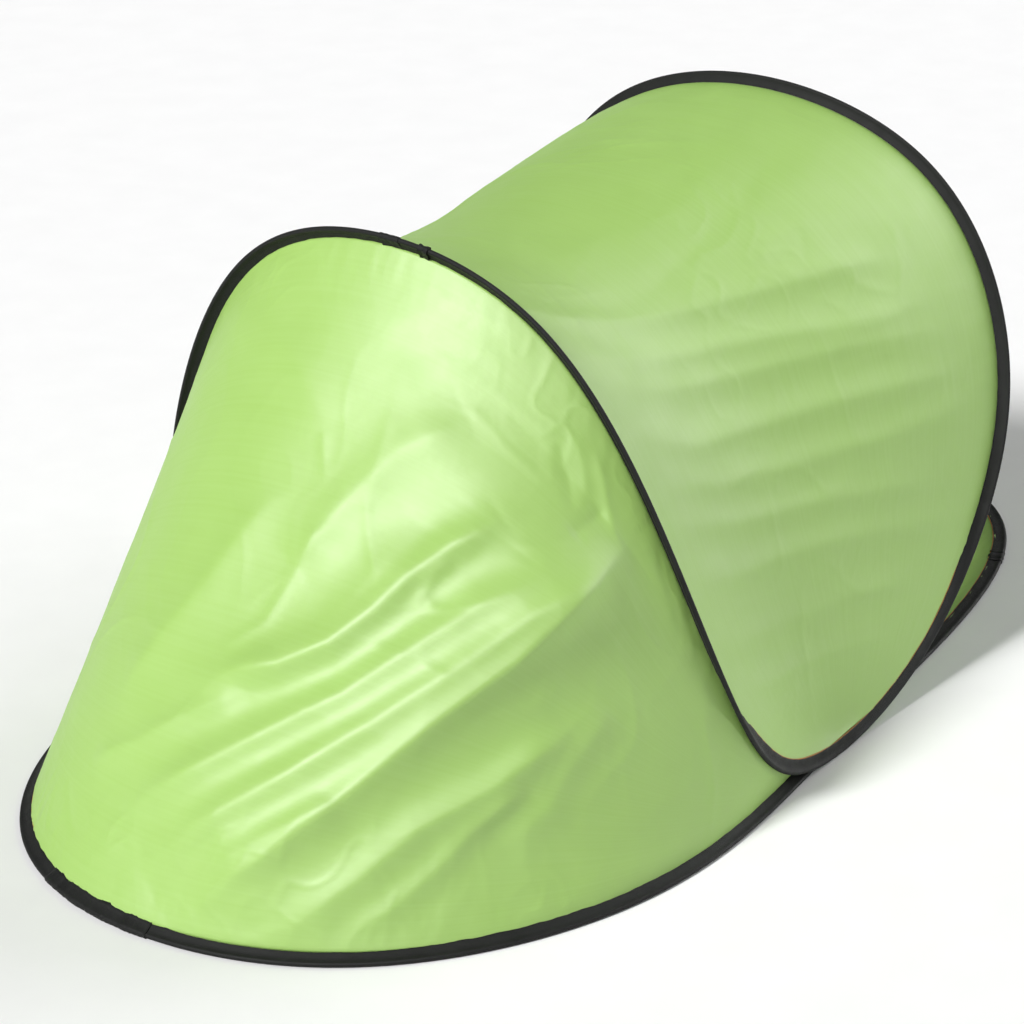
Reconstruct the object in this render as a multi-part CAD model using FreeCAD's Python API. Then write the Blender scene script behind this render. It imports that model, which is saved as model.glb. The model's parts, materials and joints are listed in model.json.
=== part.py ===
"""Pop up tent: two closed spring wire hoops in sewn tape, with fabric stretched between them.

Frame: X runs along the tent, +X to the open front, Y across it, +Z up. The origin is on the
ground under the middle of the floor. Millimetres.
"""
import FreeCAD, Part
import math
import os
from FreeCAD import Vector

# --- driving dimensions ---------------------------------------------------------------------
# Control points of each hoop from its rear crown to its front crown, on the +Y side. The other
# side is the mirror image. A hoop is the smooth closed B-spline that these points steer.
FLOOR_HOOP = [(-1135, 0), (-1008, 367), (-553, 589), (-30, 495), (544, 440), (981, 320), (1145, 0)]
ROOF_HOOP = [
    (-529, 0, 904), (-493, 272, 823), (-457, 440, 561), (-383, 560, 167), (-145, 514, -26),
    (245, 510, 24), (517, 500, 279), (544, 485, 552), (545, 335, 813), (516, 0, 908),
]

wire_radius = 2.0            # spring steel wire of both hoops
ferrule_radius = 2.7         # crimped sleeve over the joint in each wire
ferrule_length = 60.0
tape_reach = 20.5            # from the wire's centre to the tape's stitched inner edge
tape_thickness = 0.7
bead_radius = 3.8            # outside of the tape where it folds around the wire
leaf_gap = 1.0               # room between the tape's two leaves for the fabric's edge
fold_reach = 6.5             # where the fold narrows into the flat leaves
arch_lean = 0.5              # how far the arches' tape leans in over the roof

floor_thickness = 0.8
panel_thickness = 0.5
panel_clearance = 1.3        # from the tape's inner edge to the start of a panel
panel_parting = 1.2          # each panel leaves its own side of the roof tape
floor_inset = 9.0            # from the floor wire to the edge of the floor sheet
roof_sag = 72.0              # deepest dip of the roof, a third of the way along it

rear_tilt, front_tilt = 40.0, 7.0       # how far the floor tape is pulled up, in degrees
tilt_from, tilt_to = -350.0, 350.0      # X over which that pull dies away

# Places along the hoops below are counted in control points from the rear crown.
rear_knee, front_knee = 3.92, 5.25      # ends of the roof hoop's bent foot
knee_gap = 0.004                        # parts the foot's pieces from the arches
rear_panel_end, rear_panel_floor_end = 3.88, 2.77
roof_panel_end, roof_panel_front_end = 4.1, 4.65

patch_thickness, patch_clearance = 0.7, 0.5     # short doubled pieces of tape
patch_leaf_clearance = 0.8
floor_joint_place, floor_joint_lap = 0.25, 230.0      # middle and length of each lap
floor_front_place, floor_front_lap = 7.4, 40.0
crown_tab_place, crown_tab_length = -0.3, 16.0
rear_lap_place, front_lap_place, arch_lap = -0.08, 7.6, 34.0
roof_ferrule_place = 8.4

ribbon_width, ribbon_thickness = 11.0, 0.6
ribbon_top_place, ribbon_low_place = 3.55, 2.45
ribbon_rise = 9.0            # the ribbon's top lies this far off the arch's tape
seam_width = 40.0            # sewn tab between the roof hoop's foot and the floor hoop
seam_roof_place, seam_floor_place = 4.4, 3.02


# --- curves ---------------------------------------------------------------------------------
def closed_points(half):
    """The whole loop of control points of a hoop, from those on its +Y side."""
    points = [Vector(*p) for p in half]
    return points + [Vector(p.x, -p.y, p.z) for p in reversed(points[1:-1])]


def spline(points, place, order=0):
    """Point (order 0) or direction (order 1) of the closed uniform cubic B-spline."""
    i = math.floor(place)
    t = place - i
    if order == 0:
        weights = ((1 - t) ** 3, 3 * t**3 - 6 * t**2 + 4, -3 * t**3 + 3 * t**2 + 3 * t + 1, t**3)
    else:
        weights = (-3 * (1 - t) ** 2, 9 * t**2 - 12 * t, -9 * t**2 + 6 * t + 3, 3 * t**2)
    total = Vector()
    for k, weight in enumerate(weights):
        total += points[(i + k - 1) % len(points)] * (weight / 6)
    return total


def smooth(value, low, high):
    """0 below low, 1 above high and an even S between them."""
    t = min(max((value - low) / (high - low), 0.0), 1.0)
    return t * t * (3 - 2 * t)


floor_wire_height = bead_radius + patch_clearance + patch_thickness
FLOOR = closed_points([(x, y, floor_wire_height) for x, y in FLOOR_HOOP])
ROOF = closed_points(ROOF_HOOP)
ROOF_FRONT = len(ROOF) // 2          # place of the front arch's crown


def floor_frame(place):
    """Wire centre, direction in which the tape stands and the normal to it, on the floor hoop."""
    centre, along = spline(FLOOR, place), spline(FLOOR, place, 1).normalize()
    inward = Vector(0, 0, 1).cross(along).normalize()
    if inward.dot(centre) > 0:
        inward = -inward
    share = smooth(centre.x, tilt_from, tilt_to)
    tilt = math.radians(rear_tilt * (1 - share) + front_tilt * share)
    stand = inward * math.cos(tilt) + Vector(0, 0, math.sin(tilt))
    return centre, stand, along.cross(stand)


def roof_frame(place):
    """The same on the roof hoop, whose tape stands inward on the arches and up at the feet."""
    centre, along = spline(ROOF, place), spline(ROOF, place, 1).normalize()
    arch = Vector(-arch_lean * centre.x, -centre.y, 450 - centre.z).normalize()
    foot = Vector(0, -0.12 * math.copysign(1, centre.y), 1)
    share = smooth(centre.z, 60, 330)
    stand = arch * share + foot * (1 - share)
    stand = (stand - along * stand.dot(along)).normalize()
    return centre, stand, along.cross(stand)


def at(frame, reach, rise):
    """The point reach along the tape and rise off it."""
    centre, stand, normal = frame
    return centre + stand * reach + normal * rise


def places(start, end, count):
    return [start + (end - start) * k / count for k in range(count + 1)]


# --- solids ---------------------------------------------------------------------------------
def band(sections, closed):
    """Solid through corner lists of equal length: one smooth edge per corner, ruled between."""
    edges = []
    for corner in range(len(sections[0])):
        curve = Part.BSplineCurve()
        curve.interpolate(Points=[s[corner] for s in sections], PeriodicFlag=closed)
        edges.append(curve.toShape())
    faces = [Part.makeRuledSurface(edges[k - 1], edges[k]) for k in range(len(edges))]
    if not closed:
        for section in (sections[0], sections[-1]):
            outline = Part.makePolygon(section + section[:1])
            faces.append(Part.makeFace(outline, "Part::FaceMakerSimple"))
    shell = Part.makeShell(faces)
    shell.sewShape()
    solid = Part.makeSolid(shell)
    if solid.Volume < 0:
        solid.reverse()
    return solid


def round_section(radius, sides=12):
    turns = [2 * math.pi * k / sides for k in range(sides)]
    return [(radius * math.cos(a), radius * math.sin(a)) for a in turns]


def tape_section():
    """Tape folded around the wire, open at its inner edge where the fabric goes in."""
    half_gap = leaf_gap / 2
    turns = [math.radians(55 + 250 * k / 6) for k in range(7)]

    def side(half, radius):
        bend = [(radius * math.cos(a), radius * math.sin(a)) for a in turns]
        lead = [(tape_reach, half), (fold_reach, half + 0.4)]
        return lead + bend + [(u, -v) for u, v in reversed(lead)]

    outer = side(half_gap + tape_thickness, bead_radius)
    inner = side(half_gap, bead_radius - tape_thickness)
    return outer + inner[::-1]


def patch_section():
    """A second layer of tape folded over the first."""
    near = bead_radius + patch_clearance
    half = leaf_gap / 2 + tape_thickness + patch_leaf_clearance
    turns = [math.radians(55 + 250 * k / 6) for k in range(7)]

    def side(extra):
        bend = [((near + extra) * math.cos(a), (near + extra) * math.sin(a)) for a in turns]
        lead = [(tape_reach - 1, half + extra), (fold_reach, half + 0.4 + extra)]
        return lead + bend + [(u, -v) for u, v in reversed(lead)]

    return side(patch_thickness) + side(0)[::-1]


def along_hoop(frame_at, section, start, end, count):
    """The section carried along a hoop; a full turn closes on itself."""
    hoop_points = len(FLOOR) if frame_at is floor_frame else len(ROOF)
    closed = end - start == hoop_points
    stops = places(start, end, count)
    if closed:
        stops.pop()
    return band([[at(frame_at(s), u, v) for u, v in section] for s in stops], closed)


def sleeve(frame_at, middle, length):
    """Crimped tube around the wire."""
    points = FLOOR if frame_at is floor_frame else ROOF
    half = length / 2 / spline(points, middle, 1).Length
    ends = (middle - half, middle + half, 6)
    outer = along_hoop(frame_at, round_section(ferrule_radius), *ends)
    inner = along_hoop(frame_at, round_section(wire_radius + 0.2), *ends)
    return outer.cut(inner)


def doubled_tape(frame_at, middle, length):
    """Short lap of tape over the binding."""
    points = FLOOR if frame_at is floor_frame else ROOF
    half = length / 2 / spline(points, middle, 1).Length
    return along_hoop(frame_at, patch_section(), middle - half, middle + half, 6)


def sheet_between(lines):
    """Thin solid through rows of points, each row a section across the sheet."""
    sections = []
    for k, row in enumerate(lines):
        before, after = lines[max(k - 1, 0)], lines[min(k + 1, len(lines) - 1)]
        mid = len(row) // 2
        normal = (row[-1] - row[0]).cross(after[mid] - before[mid]).normalize()
        lift = normal * (panel_thickness / 2)
        sections.append([p + lift for p in row] + [p - lift for p in reversed(row)])
    return band(sections, False)


def panel_edge(place, rise):
    """Where a panel leaves the roof tape, off the side that it goes to."""
    return at(roof_frame(place), tape_reach + panel_clearance, rise)


# --- pieces ---------------------------------------------------------------------------------
def floor_sheet():
    stops = places(0, len(FLOOR), 48)[:-1]
    outline = []
    for s in stops:
        centre, stand, _ = floor_frame(s)
        inward = Vector(stand.x, stand.y, 0).normalize()
        outline.append(Vector(centre.x, centre.y, 0) + inward * floor_inset)
    curve = Part.BSplineCurve()
    curve.interpolate(Points=outline, PeriodicFlag=True)
    face = Part.Face(Part.Wire(curve.toShape()))
    return face.extrude(Vector(0, 0, floor_thickness))


def rear_panel():
    """From the rear arch down to the rear half of the floor hoop."""
    lines = []
    for s in places(-1, 1, 40):
        top = panel_edge(rear_panel_end * s, panel_parting)
        low = at(floor_frame(rear_panel_floor_end * s), tape_reach + panel_clearance, 0)
        lines.append([top, low])
    return sheet_between(lines)


def roof_panel():
    """Saddle between the rear arch and the front arch, deepest just in front of the rear arch."""
    lines = []
    for s in places(-1, 1, 40):
        rear = panel_edge(roof_panel_end * s, -panel_parting)
        front = panel_edge(ROOF_FRONT - (ROOF_FRONT - roof_panel_front_end) * s, -panel_parting)
        row = []
        for t in (0, 0.12, 0.3, 0.5, 0.75, 1):
            dip = roof_sag * (1 - s**4) * math.sin(math.pi * t**0.6) ** 2
            row.append(rear + (front - rear) * t - Vector(0, 0, dip))
        lines.append(row)
    return sheet_between(lines)


def side_ribbon(side):
    """Ribbon sewn inside the rear panel, from the arch's foot down to the floor tape."""
    top = at(roof_frame(side * ribbon_top_place), tape_reach - 4, ribbon_rise)
    low = at(floor_frame(side * ribbon_low_place), tape_reach + 8, 0) + Vector(0, -side * 8, -4)
    middle = (top + low) * 0.5 + Vector(12, -side * 5, 0)
    across = Vector(ribbon_width / 2, 0, 0)
    out = Vector(0, ribbon_thickness, 0)
    rows = [[p - across, p + across, p + across + out, p - across + out] for p in (top, middle, low)]
    return band(rows, False)


def foot_seam(side):
    """Sewn tab that ties the roof hoop's foot to the floor hoop."""
    high = at(roof_frame(side * seam_roof_place), 9, 5)
    low = floor_frame(side * seam_floor_place)[0] + Vector(0, 0, bead_radius + 1)
    across = Vector(seam_width / 2, 0, 0)
    up = Vector(0, 0, tape_thickness)
    rows = [[p - across, p + across, p + across + up, p - across + up] for p in (high, low)]
    return band(rows, False)


wire = round_section(wire_radius)
tape = tape_section()
# Start, end and number of steps of each arch along the roof hoop.
rear_arch = (knee_gap - rear_knee, rear_knee - knee_gap, 36)
front_arch = (front_knee + knee_gap, len(ROOF) - front_knee - knee_gap, 36)

pieces = {
    "floor_sheet": floor_sheet(),
    "floor_wire": along_hoop(floor_frame, wire, 0, len(FLOOR), 48),
    "floor_wire_ferrule": sleeve(floor_frame, floor_joint_place, ferrule_length),
    "floor_tape": along_hoop(floor_frame, tape, 0, len(FLOOR), 48),
    "floor_tape_lap_rear": doubled_tape(floor_frame, floor_joint_place, floor_joint_lap),
    "floor_tape_lap_front": doubled_tape(floor_frame, floor_front_place, floor_front_lap),
    "rear_arch_wire": along_hoop(roof_frame, wire, *rear_arch),
    "rear_arch_tape": along_hoop(roof_frame, tape, *rear_arch),
    "rear_arch_crown_tab": doubled_tape(roof_frame, crown_tab_place, crown_tab_length),
    "rear_arch_tape_lap": doubled_tape(roof_frame, rear_lap_place, arch_lap),
    "front_arch_wire": along_hoop(roof_frame, wire, *front_arch),
    "front_arch_tape": along_hoop(roof_frame, tape, *front_arch),
    "front_arch_tape_lap": doubled_tape(roof_frame, front_lap_place, arch_lap),
    "roof_wire_ferrule": sleeve(roof_frame, roof_ferrule_place, ferrule_length),
    "rear_panel": rear_panel(),
    "roof_panel": roof_panel(),
}
for name, side in (("left", 1), ("right", -1)):
    foot = (side * (rear_knee + knee_gap), side * (front_knee - knee_gap), 12)
    pieces[name + "_foot_wire"] = along_hoop(roof_frame, wire, *foot)
    pieces[name + "_foot_tape"] = along_hoop(roof_frame, tape, *foot)
    pieces[name + "_foot_seam"] = foot_seam(side)
    pieces[name + "_side_ribbon"] = side_ribbon(side)

os.makedirs("parts", exist_ok=True)
for name, shape in pieces.items():
    print(name, "valid" if shape.isValid() else "INVALID", round(shape.Volume / 1000, 2), "cm3")
    shape.exportStep("parts/" + name + ".step")
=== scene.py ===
"""The pop up tent's looks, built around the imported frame: tape, stitching, cloth and ground.

Everything is in metres. X runs along the tent to its open front, Y across it and Z up.
"""

import json
import math

import bpy
import numpy as np
from mathutils import Matrix, Vector

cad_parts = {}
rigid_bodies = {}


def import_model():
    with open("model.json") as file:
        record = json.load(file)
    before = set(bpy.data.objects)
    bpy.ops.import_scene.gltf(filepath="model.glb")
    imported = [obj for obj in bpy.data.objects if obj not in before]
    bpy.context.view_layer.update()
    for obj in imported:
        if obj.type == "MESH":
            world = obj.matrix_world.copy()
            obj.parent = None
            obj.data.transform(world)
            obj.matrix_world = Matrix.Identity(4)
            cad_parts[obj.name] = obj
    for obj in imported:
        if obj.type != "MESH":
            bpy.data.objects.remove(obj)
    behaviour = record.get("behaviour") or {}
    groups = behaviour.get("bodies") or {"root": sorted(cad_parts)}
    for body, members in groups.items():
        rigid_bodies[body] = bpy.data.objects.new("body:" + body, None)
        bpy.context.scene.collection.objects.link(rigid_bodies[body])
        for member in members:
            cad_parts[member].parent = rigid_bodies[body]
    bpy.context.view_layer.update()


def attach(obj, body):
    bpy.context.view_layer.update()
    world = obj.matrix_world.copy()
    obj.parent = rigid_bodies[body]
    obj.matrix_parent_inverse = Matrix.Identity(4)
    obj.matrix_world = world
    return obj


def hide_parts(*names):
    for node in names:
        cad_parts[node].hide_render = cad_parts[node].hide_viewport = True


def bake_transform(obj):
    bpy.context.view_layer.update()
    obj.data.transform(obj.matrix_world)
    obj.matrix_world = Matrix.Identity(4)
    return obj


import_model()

# --- the hoops, as in the design ------------------------------------------------------------
MM = 0.001
# Control points from the rear crown to the front crown on the +Y side, in millimetres.
FLOOR_HOOP = [(-1135, 0), (-1008, 367), (-553, 589), (-30, 495), (544, 440), (981, 320), (1145, 0)]
ROOF_HOOP = [
    (-529, 0, 904), (-493, 272, 823), (-457, 440, 561), (-383, 560, 167), (-145, 514, -26),
    (245, 510, 24), (517, 500, 279), (544, 485, 552), (545, 335, 813), (516, 0, 908),
]
WIRE_RADIUS = 2.0 * MM
BEAD = 3.8 * MM                  # radius of the tape where it folds around the wire
WIRE_HEIGHT = 5.0 * MM           # of the floor hoop
REACH = 20.5 * MM                # from the wire's centre to the tape's inner edge
TUCK = 16.5 * MM                 # where the cloth's edge lies, inside the tape
TILT_REAR, TILT_FRONT = 40.0, 7.0          # degrees that the floor hoop's tape stands up
TILT_FROM, TILT_TO = -0.35, 0.35           # X where the rear tilt ends and the front one starts
ARCH_LEAN = 0.5                  # how much the arches' tape leans in over the roof
# Places on the hoops where the rear panel and the roof panel end.
REAR_END, REAR_FLOOR_END = 3.93, 2.80      # ends of the rear panel on the two hoops
ROOF_END, ROOF_FRONT_END = 4.1, 4.65       # ends of the roof panel on the roof hoop

CLOTH = 0.3 * MM                 # thickness of the cloth
LEAF = 1.2 * MM                  # half the thickness of the two leaves of tape
GROUND_GAP = 0.1 * MM            # the tape never dips below this height
ROOF_SAG = 0.060                 # depth of the roof's saddle, in metres
ROOF_FOLD_LEVEL = 0.4            # share of the listed heights that the roof's folds have

ROWS, COLUMNS = 441, 241         # points along and across each panel

# Short doubled pieces of tape: name, CAD node, body, middle place, length in metres, lumps and
# added thickness.
LAPS = [
    ("floor_lap_rear", "floor_tape_lap_rear", "floor", 0.25, 0.23, 0.2, 1.5 * MM),
    ("floor_lap_front", "floor_tape_lap_front", "floor", 12 - 4.6, 0.04, 0.25, 1.0 * MM),
    ("rear_crown_tab", "rear_arch_crown_tab", "rear_arch", -0.3, 0.016, 0.4, 2.4 * MM),
    ("rear_arch_lap", "rear_arch_tape_lap", "rear_arch", -0.08, 0.034, 0.12, 1.0 * MM),
    ("front_arch_lap", "front_arch_tape_lap", "front_arch", 7.6, 0.034, 0.12, 1.0 * MM),
]


def closed_points(half):
    """The whole hoop's control points, from those of its +Y half."""
    points = np.array(half, float) * MM
    return np.vstack([points, (points[1:-1] * (1, -1, 1))[::-1]])


FLOOR = closed_points([(x, y, WIRE_HEIGHT / MM) for x, y in FLOOR_HOOP])
ROOF = closed_points(ROOF_HOOP)
ROOF_FRONT = len(ROOF) // 2      # place of the front crown


def smooth(value, low, high):
    """0 below low and 1 above high, with a smooth step between."""
    t = np.clip((value - low) / (high - low), 0, 1)
    return t * t * (3 - 2 * t)


def unit(v):
    return v / np.linalg.norm(v, axis=-1, keepdims=True)


def spline(points, place, order=0):
    """Points (order 0) or directions (order 1) of the closed uniform cubic B-spline."""
    place = np.asarray(place, float)
    i = np.floor(place).astype(int)
    t = place - i
    if order == 0:
        weights = ((1 - t) ** 3, 3 * t**3 - 6 * t**2 + 4, -3 * t**3 + 3 * t**2 + 3 * t + 1, t**3)
    else:
        weights = (-3 * (1 - t) ** 2, 9 * t**2 - 12 * t, -9 * t**2 + 6 * t + 3, 3 * t**2)
    near = [points[(i + k - 1) % len(points)] for k in range(4)]
    return sum(point * (w / 6)[..., None] for point, w in zip(near, weights))


def floor_frame(place):
    """Wire centres, the way the tape stands and the normal to it, along the floor hoop."""
    centre, along = spline(FLOOR, place), unit(spline(FLOOR, place, 1))
    inward = unit(np.cross((0, 0, 1), along))
    inward = np.where((inward * centre).sum(-1, keepdims=True) > 0, -inward, inward)
    share = smooth(centre[..., :1], TILT_FROM, TILT_TO)
    tilt = np.radians(TILT_REAR * (1 - share) + TILT_FRONT * share)
    stand = inward * np.cos(tilt) + np.array((0, 0, 1)) * np.sin(tilt)
    return centre, stand, np.cross(along, stand)


def roof_frame(place):
    """The same along the roof hoop, whose tape leans in over the roof and stands up at the feet."""
    centre, along = spline(ROOF, place), unit(spline(ROOF, place, 1))
    x, y, z = centre[..., 0], centre[..., 1], centre[..., 2]
    arch = unit(np.stack([-ARCH_LEAN * x, -y, 0.45 - z], -1))
    foot = np.stack([0 * y, -0.12 * np.sign(y), 0 * y + 1], -1)
    share = smooth(z, 0.06, 0.33)[..., None]
    stand = arch * share + foot * (1 - share)
    stand = unit(stand - along * (stand * along).sum(-1, keepdims=True))
    return centre, stand, np.cross(along, stand)


def at(hoop_frame, reach, rise):
    """Points a reach from the wire along the tape and a rise off its middle."""
    centre, stand, normal = hoop_frame
    return centre + stand * np.asarray(reach)[..., None] + normal * np.asarray(rise)[..., None]


def noise(points, scale, seed):
    """Smooth noise of about -1 to 1: a few crossed waves with seeded directions and phases."""
    draw = np.random.default_rng(seed)
    total = np.zeros(points.shape[:-1])
    for _ in range(7):
        way = unit(draw.normal(size=points.shape[-1]))
        length = scale * draw.uniform(0.6, 1.7)
        total += np.sin(points @ way * (2 * math.pi / length) + draw.uniform(0, 2 * math.pi))
    return total / 3.5


# --- meshes ---------------------------------------------------------------------------------
def add_mesh(name, vertices, faces, material, uv=None, smooth_shade=True):
    mesh = bpy.data.meshes.new(name)
    mesh.from_pydata([tuple(v) for v in np.asarray(vertices, float)], [], faces)
    mesh.validate()
    mesh.materials.append(material)
    mesh.polygons.foreach_set("use_smooth", [smooth_shade] * len(mesh.polygons))
    if uv is not None:
        layer = mesh.uv_layers.new(name="along")
        loops = np.empty(len(mesh.loops), int)
        mesh.loops.foreach_get("vertex_index", loops)
        layer.data.foreach_set("uv", np.asarray(uv, np.float32)[loops].ravel())
    piece = bpy.data.objects.new(name, mesh)
    bpy.context.collection.objects.link(piece)
    return piece


def grid_faces(rows, columns, wrap_rows=False, wrap_columns=False):
    """Quads over a grid of points, listed row by row."""
    faces = []
    for i in range(rows if wrap_rows else rows - 1):
        for j in range(columns if wrap_columns else columns - 1):
            a, b = i, (i + 1) % rows
            c, d = j, (j + 1) % columns
            faces.append((a * columns + c, b * columns + c, b * columns + d, a * columns + d))
    return faces


def thicken(piece, thickness):
    """Gives a sheet its thickness, half to each side."""
    solid = piece.modifiers.new("thickness", "SOLIDIFY")
    solid.thickness, solid.offset = thickness, 0.0


# --- materials ------------------------------------------------------------------------------
class Nodes:
    """A short way to write a material's node tree."""

    def __init__(self, name):
        self.material = bpy.data.materials.new(name)
        self.material.use_nodes = True
        self.tree = self.material.node_tree
        self.tree.nodes.clear()
        self.out = self.add("ShaderNodeOutputMaterial")

    def add(self, kind, inputs=None, **settings):
        node = self.tree.nodes.new(kind)
        for key, value in settings.items():
            setattr(node, key, value)
        for key, value in (inputs or {}).items():
            if isinstance(value, bpy.types.NodeSocket):
                self.tree.links.new(value, node.inputs[key])
            else:
                node.inputs[key].default_value = value
        return node

    def math(self, operation, a, b=0.5, c=0.0):
        return self.add("ShaderNodeMath", {0: a, 1: b, 2: c}, operation=operation).outputs[0]

    def ramp(self, value, low, high, to_low, to_high):
        span = {"From Min": low, "From Max": high, "To Min": to_low, "To Max": to_high}
        return self.add("ShaderNodeMapRange", {"Value": value, **span}).outputs["Result"]

    def mix(self, factor, a, b):
        node = self.add("ShaderNodeMix", data_type="RGBA")
        sockets = (node.inputs["Factor"], node.inputs[6], node.inputs[7])
        for socket, value in zip(sockets, (factor, a, b)):
            if isinstance(value, bpy.types.NodeSocket):
                self.tree.links.new(value, socket)
            else:
                socket.default_value = value
        return node.outputs[2]

    def noise(self, where, scale, detail=2.0):
        names = {"Vector": where, "Scale": scale, "Detail": detail}
        return self.add("ShaderNodeTexNoise", names).outputs["Fac"]

    def finish(self, shader):
        self.tree.links.new(shader, self.out.inputs["Surface"])
        return self.material


def polyester(name, colour, deep, translucence=0.26):
    """Thin satin polyester: a fine weave, faint streaks along the yarn and light through it."""
    n = Nodes(name)
    where = n.add("ShaderNodeTexCoord").outputs["Object"]
    uv = n.add("ShaderNodeUVMap", uv_map="along").outputs["UV"]
    warp = n.add("ShaderNodeTexWave", {"Vector": uv, "Scale": 420.0, "Distortion": 0.6},
                 bands_direction="X").outputs["Fac"]
    weft = n.add("ShaderNodeTexWave", {"Vector": uv, "Scale": 420.0, "Distortion": 0.6},
                 bands_direction="Y").outputs["Fac"]
    weave = n.math("MULTIPLY", warp, weft)
    cloudy = n.noise(where, 2.6, 3.0)
    streak_at = n.add("ShaderNodeMapping", {"Vector": uv, "Scale": (3.0, 160.0, 1.0)}).outputs[0]
    streak = n.noise(streak_at, 1.0, 2.0)
    tone = n.math("ADD", n.math("MULTIPLY", cloudy, 0.6), n.math("MULTIPLY", streak, 0.4))
    base = n.mix(n.ramp(tone, 0.3, 0.7, 0.0, 1.0), deep, colour)
    base = n.mix(n.ramp(weave, 0.0, 1.0, 0.10, 0.0), base, deep)
    fine = n.noise(where, 55.0, 4.0)
    height = n.math("ADD", n.math("MULTIPLY", weave, 0.25), n.math("MULTIPLY", fine, 0.9))
    bump = n.add("ShaderNodeBump", {"Height": height, "Strength": 0.22, "Distance": 0.0012})
    rough = n.ramp(n.noise(where, 14.0, 3.0), 0.3, 0.7, 0.40, 0.50)
    front = n.add("ShaderNodeBsdfPrincipled", {
        "Base Color": base, "Roughness": rough, "Normal": bump.outputs[0],
        "Sheen Weight": 0.05, "Sheen Roughness": 0.35, "Specular IOR Level": 1.0,
    }).outputs[0]
    light = {"Color": base, "Normal": bump.outputs[0]}
    through = n.add("ShaderNodeBsdfTranslucent", light).outputs[0]
    both = n.add("ShaderNodeMixShader", {0: translucence, 1: front, 2: through})
    return n.finish(both.outputs[0])


def webbing(name, colour, worn, rib=600.0):
    """Black binding tape: fine ribs across it, a dusty sheen and paler worn folds."""
    n = Nodes(name)
    uv = n.add("ShaderNodeUVMap", uv_map="along").outputs["UV"]
    where = n.add("ShaderNodeTexCoord").outputs["Object"]
    ribs = n.add("ShaderNodeTexWave", {"Vector": uv, "Scale": rib, "Distortion": 0.8},
                 bands_direction="X").outputs["Fac"]
    yarns = n.add("ShaderNodeTexWave", {"Vector": uv, "Scale": rib * 0.7, "Distortion": 0.5},
                  bands_direction="Y").outputs["Fac"]
    weave = n.math("MULTIPLY", ribs, yarns)
    dust = n.noise(where, 38.0, 4.0)
    patch = n.noise(where, 6.0, 3.0)
    tone = n.math("ADD", n.math("MULTIPLY", dust, 0.5), n.math("MULTIPLY", patch, 0.5))
    base = n.mix(n.ramp(tone, 0.35, 0.7, 0.0, 1.0), colour, worn)
    base = n.mix(n.ramp(weave, 0.0, 1.0, 0.35, 0.0), base, (0.008, 0.008, 0.008, 1))
    height = n.math("ADD", n.math("MULTIPLY", weave, 0.5), n.math("MULTIPLY", dust, 0.7))
    bump = n.add("ShaderNodeBump", {"Height": height, "Strength": 0.35, "Distance": 0.0008})
    rough = n.ramp(dust, 0.3, 0.7, 0.5, 0.68)
    shader = n.add("ShaderNodeBsdfPrincipled", {
        "Base Color": base, "Roughness": rough, "Normal": bump.outputs[0],
        "Sheen Weight": 0.02, "Sheen Roughness": 0.4, "Specular IOR Level": 0.2,
    })
    return n.finish(shader.outputs[0])


def thread_material():
    n = Nodes("ochre_thread")
    where = n.add("ShaderNodeTexCoord").outputs["Object"]
    twist = n.noise(where, 900.0, 2.0)
    base = n.mix(n.ramp(twist, 0.3, 0.7, 0.0, 1.0), (0.45, 0.17, 0.015, 1), (0.65, 0.28, 0.03, 1))
    bump = n.add("ShaderNodeBump", {"Height": twist, "Strength": 0.4, "Distance": 0.0002})
    shader = n.add("ShaderNodeBsdfPrincipled", {
        "Base Color": base, "Roughness": 0.55, "Normal": bump.outputs[0], "Sheen Weight": 0.2,
    })
    return n.finish(shader.outputs[0])


def steel(name, tint, roughness):
    """Drawn wire: fine lengthwise lines and faint tarnish."""
    n = Nodes(name)
    where = n.add("ShaderNodeTexCoord").outputs["Object"]
    tarnish = n.noise(where, 30.0, 4.0)
    lines = n.noise(where, 700.0, 2.0)
    base = n.mix(n.ramp(tarnish, 0.35, 0.7, 0.0, 1.0), tint, (0.32, 0.30, 0.28, 1))
    bump = n.add("ShaderNodeBump", {"Height": lines, "Strength": 0.2, "Distance": 0.0003})
    rough = n.ramp(tarnish, 0.3, 0.7, roughness, roughness + 0.15)
    shader = n.add("ShaderNodeBsdfPrincipled", {
        "Base Color": base, "Metallic": 1.0, "Roughness": rough, "Normal": bump.outputs[0],
    })
    return n.finish(shader.outputs[0])


GREEN = polyester("lime_polyester", (0.480, 0.735, 0.205, 1), (0.435, 0.690, 0.160, 1))
FLOOR_GREEN = polyester("lime_floor", (0.500, 0.760, 0.190, 1), (0.430, 0.690, 0.140, 1), 0.15)
BLACK = webbing("black_tape", (0.006, 0.0065, 0.006, 1), (0.015, 0.016, 0.015, 1))
RIBBON = webbing("black_ribbon", (0.030, 0.034, 0.030, 1), (0.05, 0.055, 0.05, 1), 800.0)
THREAD = thread_material()
WIRE = steel("spring_steel", (0.55, 0.54, 0.52, 1), 0.3)
ALLOY = steel("crimped_alloy", (0.74, 0.74, 0.73, 1), 0.35)


# --- tape and wire --------------------------------------------------------------------------
def tape_section(bead, leaf, reach):
    """Outline of folded tape: around the wire and along both leaves to the inner edge."""
    turns = np.radians(np.linspace(48, 312, 12))
    bend = [(bead * math.cos(a), bead * math.sin(a)) for a in turns]
    lead = [(reach, leaf * 0.55), (reach - 0.5 * MM, leaf), (reach * 0.72, leaf),
            (reach * 0.5, leaf * 1.08), (bead * 1.7, leaf * 1.35)]
    return np.array(lead + bend + [(u, -v) for u, v in reversed(lead)])


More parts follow.
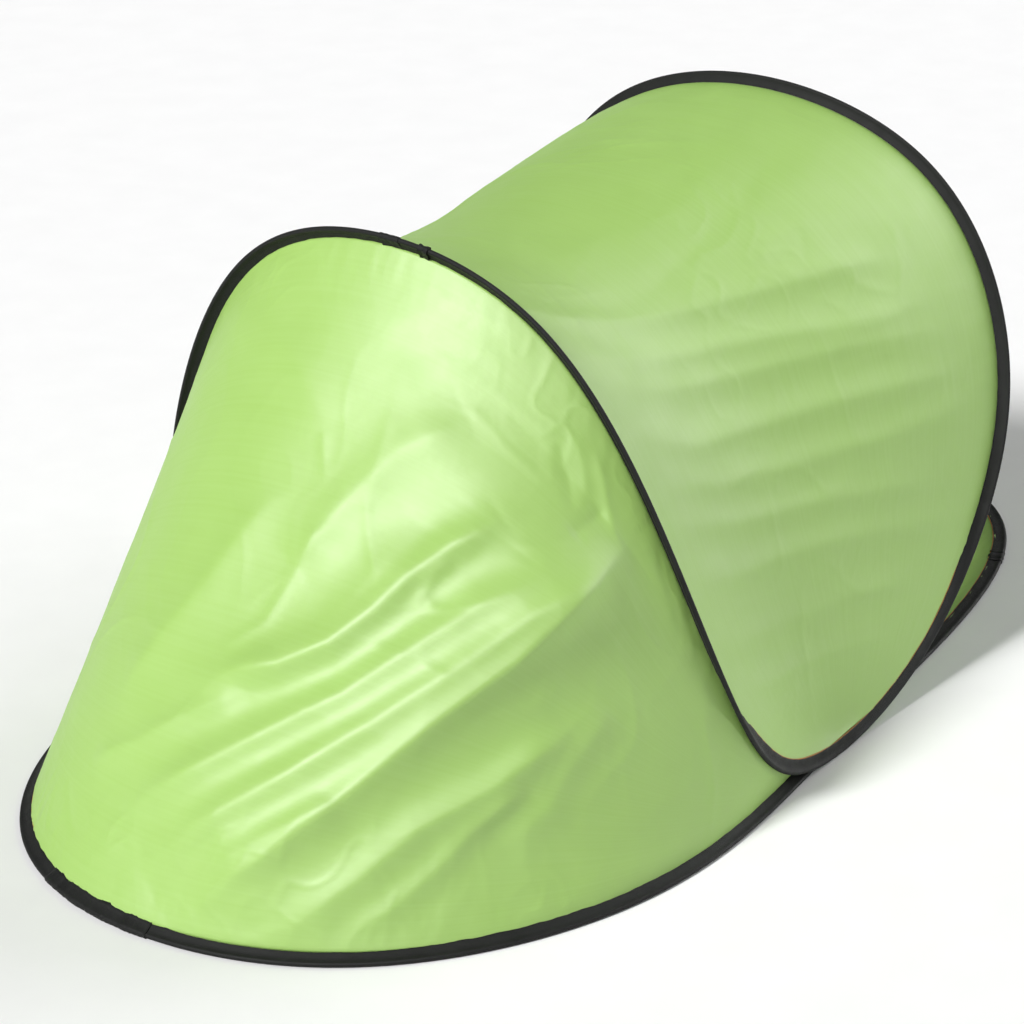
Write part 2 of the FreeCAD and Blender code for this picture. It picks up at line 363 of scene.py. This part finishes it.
def swept(name, hoop_frame, section, places, closed, material, ripple=0.0, seed=1, lumps=0.0):
    """Section carried along a hoop, with small waves in its leaves and lumps around its wire."""
    centre, stand, normal = hoop_frame(places)
    step = np.linalg.norm(np.diff(centre, axis=0), axis=1)
    travel = np.concatenate([[0], np.cumsum(step)])
    u, v = section[:, 0], section[:, 1]
    lean = np.clip(u / REACH, 0, 1.2) ** 1.5
    wave = noise(centre, 0.035, seed) + 0.6 * noise(centre, 0.015, seed + 1)
    in_out = noise(centre, 0.06, seed + 2)
    bulge = noise(centre, 0.022, seed + 3) + 0.6 * noise(centre, 0.009, seed + 4)
    swell = 1 + lumps * bulge[:, None]
    rise = v[None, :] * swell + ripple * wave[:, None] * lean[None, :]
    reach = u[None, :] * (1 + 0.5 * (swell - 1)) + 0.35 * ripple * in_out[:, None] * lean[None, :]
    points = centre[:, None] + stand[:, None] * reach[..., None] + normal[:, None] * rise[..., None]
    rows, columns = len(places), len(section)
    around = np.concatenate([[0], np.cumsum(np.linalg.norm(np.diff(section, axis=0), axis=1))])
    uv = np.stack(np.broadcast_arrays(travel[:, None], around[None, :]), -1).reshape(-1, 2)
    faces = grid_faces(rows, columns, closed, True)
    if not closed:
        faces.append(tuple(range(columns))[::-1])
        faces.append(tuple(range((rows - 1) * columns, rows * columns)))
    points[..., 2] = np.maximum(points[..., 2], GROUND_GAP)
    return add_mesh(name, points.reshape(-1, 3), faces, material, uv)


def loop_places(points, count):
    """Even places round a whole hoop."""
    return np.linspace(0, len(points), count, endpoint=False)


def follow_roof(piece):
    """Bakes the piece's place into its mesh."""
    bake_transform(piece)


def floor_tape():
    """The tape round the floor hoop, one piece."""
    section = tape_section(BEAD, LEAF, REACH)
    places = loop_places(FLOOR, 1500)
    piece = swept("floor_binding", floor_frame, section, places, True, BLACK, 0.35 * MM, 11)
    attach(piece, "floor")
    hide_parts("floor_tape")


def roof_tape():
    """The tape round the roof hoop, one piece."""
    places = loop_places(ROOF, 1900)
    section = tape_section(BEAD, LEAF, REACH)
    piece = swept("roof_binding", roof_frame, section, places, True, BLACK, 0.5 * MM, 21)
    follow_roof(piece)
    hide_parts("rear_arch_tape", "left_foot_tape", "right_foot_tape", "front_arch_tape")


def roof_wire():
    """The roof hoop's wire, one piece inside its tape."""
    places = loop_places(ROOF, 700)
    turns = np.linspace(0, 2 * math.pi, 10, endpoint=False)
    section = np.stack([np.cos(turns), np.sin(turns)], -1) * WIRE_RADIUS
    piece = swept("roof_hoop_wire", roof_frame, section, places, True, WIRE)
    follow_roof(piece)
    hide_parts("rear_arch_wire", "left_foot_wire", "right_foot_wire", "front_arch_wire")


def lap(name, node, body, middle, length, lumps, thick):
    """A second layer of tape over a short stretch, with uneven edges."""
    hoop_frame, points = (floor_frame, FLOOR) if body == "floor" else (roof_frame, ROOF)
    half = length / 2 / np.linalg.norm(spline(points, middle, 1))
    places = np.linspace(middle - half, middle + half, 72)
    section = tape_section(BEAD + thick, 1.0 * MM + thick, REACH + 1.0 * MM)
    piece = swept(name, hoop_frame, section, places, False, BLACK, 0.8 * MM, 31, lumps)
    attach(piece, body)
    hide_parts(node)


def stitches(name, hoop_frame, points, pitch=4.2 * MM, length=3.8 * MM, radius=0.9 * MM):
    """One row of thick thread along the tape's inner edge, seen on both faces."""
    fine = np.linspace(0, len(points), 6000)
    line = spline(points, fine)
    travel = np.concatenate([[0], np.cumsum(np.linalg.norm(np.diff(line, axis=0), axis=1))])
    count = int(travel[-1] / pitch)
    rings, sides = 4, 5
    vertices, faces, shares = [], [], []
    for side in (1, -1):
        for k in range(count):
            middle = (k + 0.5) * pitch
            t = np.linspace(-0.5, 0.5, rings)
            place = np.interp(middle + t * length, travel, fine)
            sink = side * (0.75 - 0.3 * (2 * np.abs(t)) ** 3) * MM
            spine = at(hoop_frame(place), np.full(rings, REACH + 0.1 * MM), sink)
            _, stand, normal = hoop_frame(place)
            first = len(vertices)
            for r in range(rings):
                thick = radius * (1 - 0.45 * abs(2 * t[r]) ** 2)
                for s in range(sides):
                    a = 2 * math.pi * s / sides
                    ray = stand[r] * math.cos(a) + normal[r] * math.sin(a)
                    vertices.append(spine[r] + ray * thick)
            for r in range(rings - 1):
                for s in range(sides):
                    a, b = first + r * sides + s, first + r * sides + (s + 1) % sides
                    faces.append((a, b, b + sides, a + sides))
            faces.append(tuple(first + s for s in range(sides))[::-1])
            faces.append(tuple(first + (rings - 1) * sides + s for s in range(sides)))
            shares.extend([place[0]] * (rings * sides))
    piece = add_mesh(name, vertices, faces, THREAD)
    return piece, np.array(shares)


# --- cloth ----------------------------------------------------------------------------------
def folds(base, normal, lines):
    """Ridges (and valleys, below 0) along lines of (s, t) places on a panel, in millimetres.

    A pair of half widths is for the two sides of the line, its left side first.
    """
    rows, columns = base.shape[:2]
    rise = np.zeros((rows, columns))
    for line, half_width, height in lines:
        spots = [(round((s + 1) / 2 * (rows - 1)), round(t * (columns - 1))) for s, t in line]
        knots = np.array([base[spot] for spot in spots])
        arc = np.concatenate([[0], np.cumsum(np.linalg.norm(np.diff(knots, axis=0), axis=1))])
        best, where, side = np.full_like(rise, 9.0), np.zeros_like(rise), np.zeros_like(rise)
        for k, (a, b) in enumerate(zip(knots[:-1], knots[1:])):
            way = b - a
            share = np.clip((base - a) @ way / (way @ way), 0, 1)
            gap = np.linalg.norm(base - a - share[..., None] * way, axis=-1)
            nearer = gap < best
            best = np.where(nearer, gap, best)
            where = np.where(nearer, (arc[k] + share * (arc[k + 1] - arc[k])) / arc[-1], where)
            turn = (np.cross(way, base - a) * normal).sum(-1)
            side = np.where(nearer, turn, side)
        taper = smooth(where, -0.06, 0.16) * (1 - smooth(where, 0.8, 1.05))
        left, right = half_width if isinstance(half_width, tuple) else (half_width, half_width)
        width = np.where(side > 0, left, right) * MM
        power = 1.2 if left != right else 1.6
        rise += height * MM * taper * np.exp(-(best / width) ** power)
    return rise


def mirrored(lines, count, share):
    """The first few folds again on the other side, a little lower and shifted."""
    return [([(-s + 0.03, min(1.0, t + 0.02)) for s, t in line], width, height * share)
            for line, width, height in lines[:count]]


REAR_FOLDS = [
    ([(-0.49, 0.12), (-0.43, 0.32), (-0.38, 0.48), (-0.32, 0.61), (-0.25, 0.74), (-0.16, 0.88),
      (-0.06, 1.0)], (92, 190), 60),
    ([(-0.48, 0.15), (-0.43, 0.32), (-0.38, 0.48), (-0.32, 0.61), (-0.27, 0.71), (-0.22, 0.80),
      (-0.16, 0.88), (-0.08, 0.96)], 24, 13.5),
    ([(-0.46, 0.22), (-0.38, 0.39), (-0.31, 0.54), (-0.24, 0.65), (-0.16, 0.75), (-0.07, 0.84),
      (0.02, 0.93)], 28, 21),
    ([(-0.40, 0.29), (-0.32, 0.42), (-0.26, 0.52), (-0.19, 0.62), (-0.11, 0.70), (-0.01, 0.79),
      (0.09, 0.88)], 28, 19.5),
    ([(-0.31, 0.28), (-0.26, 0.36), (-0.22, 0.43), (-0.19, 0.49), (-0.15, 0.56), (-0.09, 0.61),
      (-0.00, 0.65)], 26, 21),
    ([(-0.49, 0.54), (-0.42, 0.69), (-0.34, 0.79), (-0.29, 0.88), (-0.23, 0.96),
      (-0.20, 1.00)], 30, 19.5),
    ([(-0.46, 0.68), (-0.41, 0.78), (-0.38, 0.86), (-0.34, 0.93), (-0.30, 0.98)], 22, 12),
    ([(-0.43, 1.00), (-0.52, 0.98), (-0.62, 0.97), (-0.71, 0.93), (-0.82, 0.91)], 17.5, 2.3),
    ([(-0.56, 0.95), (-0.65, 0.91), (-0.76, 0.85)], 17.5, 1.8),
    ([(-0.43, 0.89), (-0.42, 0.94), (-0.41, 0.99)], 15, 1.8),
    ([(0.18, 0.72), (0.13, 0.62), (0.08, 0.53), (0.04, 0.43), (0.01, 0.37)], 40, 8),
    ([(0.01, 0.61), (-0.04, 0.56), (-0.06, 0.48), (-0.07, 0.42), (-0.10, 0.40)], 12.5, 2.3),
    ([(0.04, 0.69), (-0.04, 0.62), (-0.13, 0.54), (-0.17, 0.45), (-0.20, 0.35)], 40, 9),
    ([(-0.05, 0.47), (-0.09, 0.37), (-0.14, 0.27), (-0.22, 0.18)], 40, 10.5),
    ([(-0.12, 0.34), (-0.14, 0.39), (-0.18, 0.46)], 8.8, 1.6),
    ([(-0.11, 0.22), (-0.12, 0.29), (-0.13, 0.37)], 11.2, 1.1),
    ([(-0.02, 0.28), (-0.05, 0.34)], 8.8, 1.3),
    ([(-0.24, 0.47), (-0.25, 0.41), (-0.27, 0.38)], 10, 2.3),
    ([(-0.27, 0.46), (-0.24, 0.44)], 7.5, 1.3),
    ([(-0.21, 0.48), (-0.27, 0.46), (-0.33, 0.41)], 4.4, 0.7),
    ([(-0.33, 0.31), (-0.41, 0.24), (-0.47, 0.16)], 4.4, 0.7),
    ([(-0.41, 0.06), (-0.43, 0.08), (-0.46, 0.12), (-0.48, 0.14)], 10, 3.6),
    ([(-0.37, 0.07), (-0.40, 0.10), (-0.42, 0.14)], 10, 2.3),
    ([(-0.35, 0.10), (-0.38, 0.14), (-0.40, 0.18)], 10, -2.3),
    ([(-0.34, 0.12), (-0.36, 0.17)], 10, 1.3),
    ([(-0.41, 0.22), (-0.45, 0.11)], 16, -5.2),
    ([(-0.47, 0.00), (-0.52, 0.03), (-0.57, 0.08), (-0.62, 0.13)], 17.5, 2.3),
    ([(-0.61, 0.02), (-0.63, 0.06), (-0.66, 0.09)], 8.8, 1.8),
    ([(0.20, 0.83), (0.10, 0.77), (0.01, 0.70), (-0.06, 0.66)], 20, 7.5),
    ([(0.26, 0.88), (0.21, 0.92), (0.17, 0.94)], 10, -2.3),
    ([(0.09, 0.95), (0.00, 0.92)], 6.2, 0.9),
    ([(-0.07, 0.95), (-0.15, 0.94), (-0.20, 0.90)], 8.8, 1.3),
    ([(-0.07, 1.00), (-0.17, 0.99), (-0.23, 0.96)], 8.8, 1.3),
    ([(-0.10, 0.90), (-0.18, 0.82), (-0.23, 0.77)], 22, 9),
    ([(-0.13, 0.12), (-0.25, 0.12), (-0.36, 0.10)], 10, 0.9),
    ([(-0.21, 0.16), (-0.28, 0.18), (-0.36, 0.18)], 7.5, 0.7),
    ([(0.32, 0.04), (0.08, 0.18), (-0.03, 0.27)], 40, 6),
    ([(-0.54, 0.45), (-0.51, 0.62), (-0.50, 0.72), (-0.46, 0.81)], 34, 9),
]
ROOF_FOLDS = [
    ([(-0.20, 0.01), (-0.23, 0.08), (-0.27, 0.23), (-0.29, 0.39), (-0.31, 0.57),
      (-0.33, 0.82)], 26, 14.4),
    ([(-0.28, 0.03), (-0.32, 0.12), (-0.34, 0.26), (-0.36, 0.41), (-0.39, 0.62),
      (-0.41, 0.87)], 28, 14.4),
    ([(-0.34, 0.05), (-0.38, 0.22), (-0.40, 0.38), (-0.42, 0.60), (-0.45, 0.88)], 28, 12.6),
    ([(-0.41, 0.05), (-0.46, 0.22), (-0.47, 0.37), (-0.48, 0.58), (-0.51, 0.88)], 30, 14.4),
    ([(-0.47, 0.04), (-0.51, 0.23), (-0.53, 0.45), (-0.55, 0.68), (-0.56, 0.94)], 30, 12.6),
    ([(-0.52, 0.04), (-0.56, 0.25), (-0.59, 0.50), (-0.64, 0.81)], 26, 10.8),
    ([(-0.58, 0.04), (-0.61, 0.21), (-0.63, 0.42), (-0.67, 0.66), (-0.72, 0.96)], 26, 10.8),
    ([(-0.66, 0.04), (-0.69, 0.23), (-0.72, 0.47), (-0.76, 0.78)], 24, 9),
    ([(-0.72, 0.03), (-0.76, 0.20), (-0.79, 0.45), (-0.83, 0.72)], 20, 9),
    ([(-0.79, 0.02), (-0.81, 0.20), (-0.86, 0.51)], 16, 3.2),
    ([(-0.12, 0.24), (-0.12, 0.34), (-0.10, 0.47), (-0.05, 0.64)], 32, 5),
    ([(-0.14, 0.37), (-0.13, 0.53), (-0.10, 0.68), (-0.06, 0.88)], 32, 6),
    ([(-0.24, 0.30), (-0.21, 0.45), (-0.17, 0.62), (-0.11, 0.87)], 34, -6),
    ([(-0.24, 0.58), (-0.24, 0.63), (-0.24, 0.71)], 14, 2.0),
    ([(-0.24, 0.58), (-0.28, 0.56), (-0.31, 0.60)], 12, 1.5),
    ([(-0.24, 0.67), (-0.28, 0.64), (-0.31, 0.61)], 12, -1.5),
    ([(-0.24, 0.29), (-0.27, 0.41), (-0.29, 0.57), (-0.32, 0.78)], 28, 5),
    ([(0.08, 0.68), (-0.01, 0.69), (-0.07, 0.74)], 28, 4),
]
ROOF_FOLDS = [(line, width, ROOF_FOLD_LEVEL * height) for line, width, height in ROOF_FOLDS]
ROOF_FOLDS += mirrored(ROOF_FOLDS, 10, 0.9)


def panel(name, near_edge, far_edge, material, shape, outward):
    """Cloth between two sewn edges, which stands shape(s, t, base, normal) off straight lines.

    Its normals point outward. Returns the piece and each point's t.
    """
    s, t = np.linspace(-1, 1, ROWS), np.linspace(0, 1, COLUMNS)
    base = near_edge[:, None] * (1 - t)[None, :, None] + far_edge[:, None] * t[None, :, None]
    normal = unit(np.cross(np.gradient(base, axis=1), np.gradient(base, axis=0)))
    if normal[ROWS // 2, COLUMNS // 2] @ np.array(outward) < 0:
        normal = -normal
    sg, tg = np.meshgrid(s, t, indexing="ij")
    points = base + normal * shape(sg, tg, base, normal)[..., None]
    length = np.cumsum(np.linalg.norm(np.diff(base[:, COLUMNS // 2], axis=0), axis=1))
    width = np.cumsum(np.linalg.norm(np.diff(base[ROWS // 2], axis=0), axis=1))
    length, width = np.concatenate([[0], length]), np.concatenate([[0], width])
    uv = np.stack(np.meshgrid(length, width, indexing="ij"), -1).reshape(-1, 2)
    return add_mesh(name, points.reshape(-1, 3), grid_faces(ROWS, COLUMNS), material, uv), tg


def crumple(points, scale, seed):
    """Low irregular creases, 0 to 1, as in cloth that was folded away."""
    shift = np.stack([noise(points, scale * 1.5, seed + k) for k in range(3)], -1)
    bent = points + 0.25 * scale * shift
    ridges = 1 - np.abs(noise(bent, scale, seed + 3)) * 1.6
    patches = 0.5 + 0.5 * np.clip(noise(points, scale * 3, seed + 4), -1, 1)
    return np.clip(ridges, 0, 1) ** 3 * patches


def gathers(s, t, height, seed):
    """Small puckers where the cloth goes into the tape."""
    near = np.exp(-t / 0.035) + np.exp(-(1 - t) / 0.035)
    wave = noise(np.stack([s * 60, t * 2], -1), 2.2, seed)
    wave = wave + 0.6 * noise(np.stack([s * 60, t * 5], -1), 0.9, seed + 1)
    return height * near * wave * np.minimum(1, 30 * t * (1 - t))


def rear_panel_shape(s, t, base, normal):
    """t runs from the roof hoop, 0, to the floor hoop, 1; s from side to side."""
    free = np.sin(math.pi * t) ** 0.4 * np.clip(1 - s**6, 0, 1)
    lift = (0.006 * noise(base, 0.6, 3) + folds(base, normal, REAR_FOLDS)) * free
    lift = lift + (0.0030 * crumple(base, 0.30, 31) + 0.0012 * crumple(base, 0.12, 41)) * free
    hem = np.exp(-(((1 - t) / 0.14) ** 2)) + 0.5 * np.exp(-((t / 0.12) ** 2))
    lift = lift + 0.0055 * crumple(base, 0.085, 71) * hem * free
    return lift + gathers(s, t, 0.0009, 5)


def roof_panel_shape(s, t, base, normal):
    """t runs from the rear arch, 0, to the front arch, 1."""
    free = np.sin(math.pi * t) ** 0.4 * np.clip(1 - s**6, 0, 1)
    sag = ROOF_SAG * (1 - s**4) * np.sin(math.pi * t**0.6) ** 2
    lift = (0.004 * noise(base, 0.5, 8) + folds(base, normal, ROOF_FOLDS)) * free - sag
    lift = lift + (0.0022 * crumple(base, 0.34, 51) + 0.0009 * crumple(base, 0.13, 61)) * free
    return lift + gathers(s, t, 0.0011, 9)


def rear_panel():
    s = np.linspace(-1, 1, ROWS)
    top = at(roof_frame(REAR_END * s), np.full(ROWS, TUCK), np.full(ROWS, 0.25 * MM))
    low = at(floor_frame(REAR_FLOOR_END * s), np.full(ROWS, TUCK), np.full(ROWS, 0.0))
    piece, t = panel("rear_panel_cloth", top, low, GREEN, rear_panel_shape, (-1, 0, 0.5))
    thicken(piece, CLOTH)
    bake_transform(piece)
    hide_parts("rear_panel")


def roof_panel():
    s = np.linspace(-1, 1, ROWS)
    rear = at(roof_frame(ROOF_END * s), np.full(ROWS, TUCK), np.full(ROWS, -0.25 * MM))
    front_place = ROOF_FRONT - (ROOF_FRONT - ROOF_FRONT_END) * s
    front = at(roof_frame(front_place), np.full(ROWS, TUCK), np.full(ROWS, -0.25 * MM))
    piece, t = panel("roof_panel_cloth", rear, front, GREEN, roof_panel_shape, (0, 0, 1))
    thicken(piece, CLOTH)
    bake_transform(piece)
    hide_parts("roof_panel")


def floor_sheet():
    """Floor cloth inside the hoop, lying on the ground with low wrinkles.

    Rings of points shrink from the hoop to a line along the middle, which a last strip closes.
    """
    around, rings = 360, 70
    lowest, hem = 0.9 * MM, 0.06           # height of flat cloth; width of the slope up to the tape
    place = np.linspace(0, len(FLOOR), around, endpoint=False)
    edge = at(floor_frame(place), np.full(around, TUCK), np.full(around, 0.0))
    inner = np.linspace(1, 0, rings + 1)[:-1]
    inner = 1 - (1 - inner) ** 1.25
    middle = np.stack([edge[:, 0] * 0.86, 0 * edge[:, 1], 0 * edge[:, 0]], -1)
    points = []
    for k in inner:
        ring = middle + (edge - middle) * np.array([k, k, 0])
        gap = np.linalg.norm((edge - ring)[:, :2], axis=1)
        drop = edge[:, 2] * np.exp(-(gap / 0.018) ** 1.5)
        low = lowest + 0.004 * np.abs(noise(ring[:, :2], 0.30, 13)) ** 1.6
        low = low + 0.0025 * np.clip(noise(ring[:, :2] * (1, 2.4), 0.16, 17), 0, 1) ** 2
        wrinkled = np.maximum(low * smooth(gap, 0, hem), lowest)
        ring[:, 2] = wrinkled + drop * smooth(hem - gap, 0, hem)
        points.append(ring)
    points = np.array(points)
    faces = grid_faces(rings, around, False, True)
    flat = points.reshape(-1, 3)
    spine = [(rings - 1) * around + k for k in range(around)]
    for k in range(around // 2):
        a, b = spine[k], spine[(k + 1) % around]
        c, d = spine[(around - k - 1) % around], spine[(around - k) % around]
        quad = []
        for q in (a, b, c, d):
            if q not in quad:
                quad.append(q)
        if len(quad) > 2:
            faces.append(tuple(quad[::-1]))
    piece = add_mesh("floor_sheet_cloth", flat, faces, FLOOR_GREEN, flat[:, :2])
    thicken(piece, CLOTH)
    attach(piece, "floor")
    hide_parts("floor_sheet")


# --- small trim -----------------------------------------------------------------------------
def strip(name, line, across, thickness, node, material):
    """Narrow ribbon along a line of points, softly rounded, from the floor to the rear arch.
    """
    line = np.asarray(line, float)
    t = np.linspace(0, 1, 24)
    knots = np.linspace(0, 1, len(line))
    path = np.stack([np.interp(t, knots, line[:, k]) for k in range(3)], -1)
    for _ in range(3):
        path[1:-1] = (path[:-2] + 2 * path[1:-1] + path[2:]) / 4
    across = np.asarray(across, float)
    offsets = np.linspace(-0.5, 0.5, 7)
    normal = unit(np.cross(np.gradient(path, axis=0), across))
    crown = thickness * (1 - (2 * offsets) ** 4)
    sheet = path[:, None] + across * offsets[None, :, None] + normal[:, None] * crown[None, :, None]
    arc = np.concatenate([[0], np.cumsum(np.linalg.norm(np.diff(path, axis=0), axis=1))])
    width = (offsets + 0.5) * np.linalg.norm(across)
    uv = np.stack(np.meshgrid(arc, width, indexing="ij"), -1).reshape(-1, 2)
    piece = add_mesh(name, sheet.reshape(-1, 3), grid_faces(24, 7), material, uv)
    thicken(piece, thickness)
    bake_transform(piece)
    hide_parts(node)


def side_trim(name, side):
    """The ribbon inside the rear panel and the sewn tab under the hoop's foot, on one side.
    """
    def spot(hoop_frame, place, reach, rise):
        return at(hoop_frame(np.array([place])), [reach], [rise])[0]

    top = spot(roof_frame, side * 3.55, REACH - 4 * MM, 9 * MM)
    low = spot(floor_frame, side * 2.45, REACH + 8 * MM, 0) + np.array((0, -side * 8, -4)) * MM
    middle = (top + low) / 2 + np.array((12, -side * 5, 0)) * MM
    strip(name + "_inner_ribbon", [low, middle, top], (11 * MM, 0, 0), 0.6 * MM,
          name + "_side_ribbon", RIBBON)
    high = spot(roof_frame, side * 4.4, 9 * MM, 4 * MM)
    ground = floor_frame(np.array([side * 3.02]))[0][0] + np.array((0, 0, BEAD + 0.8 * MM))
    strip(name + "_seam_tab", [ground, high], (40 * MM, 0, 0), 0.7 * MM,
          name + "_foot_seam", BLACK)


# --- light, ground and camera ---------------------------------------------------------------
GROUND_HALF = 200.0              # half the ground's side, far enough to hide the horizon
LENS, CAMERA_ROLL = 120.47, 0.18           # millimetres on a 36 mm sensor, and degrees
CAMERA_PLACE, CAMERA_AIM = (-4.2128, -2.8746, 2.3979), (-0.1865, -0.0026, 0.3362)
# Name, heading, energy and spread in degrees. The sheen lamp adds gloss and no other light.
SUNS = [
    ("key", (0.75, -0.14, -0.64), 3.6, 12),
    ("sheen", (0.70, 0.40, -0.60), 2.2, 35),
    ("back", (-0.83, 0.38, -0.40), 2.0, 50),
]
ROOM_LIGHT = 0.15


def stage():
    """A wide pale ground."""
    n = Nodes("pale_ground")
    where = n.add("ShaderNodeTexCoord").outputs["Object"]
    grain = n.noise(where, 8.0, 4.0)
    base = n.mix(n.ramp(grain, 0.3, 0.7, 0.0, 1.0), (0.85, 0.85, 0.85, 1), (0.87, 0.87, 0.87, 1))
    shader = n.add("ShaderNodeBsdfPrincipled", {"Base Color": base, "Roughness": 0.85})
    ground_material = n.finish(shader.outputs[0])
    far = GROUND_HALF
    corners = [(-far, -far, 0), (far, -far, 0), (far, far, 0), (-far, far, 0)]
    ground = add_mesh("ground", corners, [(0, 1, 2, 3)], ground_material, smooth_shade=False)


def lights():
    """A sun behind the tent's tail, a soft one before its mouth, one for gloss and a dim room."""
    world = bpy.data.worlds.new("studio")
    world.use_nodes = True
    background = world.node_tree.nodes["Background"]
    background.inputs["Color"].default_value = (1.0, 1.0, 1.0, 1)
    background.inputs["Strength"].default_value = ROOM_LIGHT
    bpy.context.scene.world = world
    bpy.context.scene.view_settings.view_transform = "Standard"
    for name, heading, energy, spread in SUNS:
        light = sun(name, heading, energy, spread)
        light.visible_diffuse = name != "sheen"


def sun(name, heading, energy, spread):
    data = bpy.data.lights.new(name, "SUN")
    data.energy = energy
    data.angle = math.radians(spread)
    light = bpy.data.objects.new(name, data)
    bpy.context.collection.objects.link(light)
    light.rotation_euler = Vector(heading).to_track_quat("-Z", "Y").to_euler()
    return light


def camera():
    """A long lens, 2.4 m up and 5.4 m from the tent's middle, off its rear corner."""
    data = bpy.data.cameras.new("camera")
    data.lens = LENS
    data.sensor_width = 36.0
    data.clip_end = 500
    view = bpy.data.objects.new("camera", data)
    bpy.context.collection.objects.link(view)
    place, aim = Vector(CAMERA_PLACE), Vector(CAMERA_AIM)
    turn = (aim - place).to_track_quat("-Z", "Y").to_matrix().to_4x4()
    roll = Matrix.Rotation(math.radians(CAMERA_ROLL), 4, "Z")
    view.matrix_world = Matrix.Translation(place) @ turn @ roll
    bpy.context.scene.camera = view


# --- build ----------------------------------------------------------------------------------
camera()
lights()
stage()

floor_tape()
roof_tape()
roof_wire()
for each in LAPS:
    lap(*each)

floor_thread, _ = stitches("floor_stitching", floor_frame, FLOOR)
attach(floor_thread, "floor")
roof_thread, thread_places = stitches("roof_stitching", roof_frame, ROOF)
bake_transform(roof_thread)

rear_panel()
roof_panel()
floor_sheet()
side_trim("left", 1)
side_trim("right", -1)

METAL = {"floor_wire": WIRE, "floor_wire_ferrule": ALLOY, "roof_wire_ferrule": ALLOY}
for cad in bpy.context.scene.objects:
    if cad.name in METAL:
        cad.data.materials.clear()
        cad.data.materials.append(METAL[cad.name])
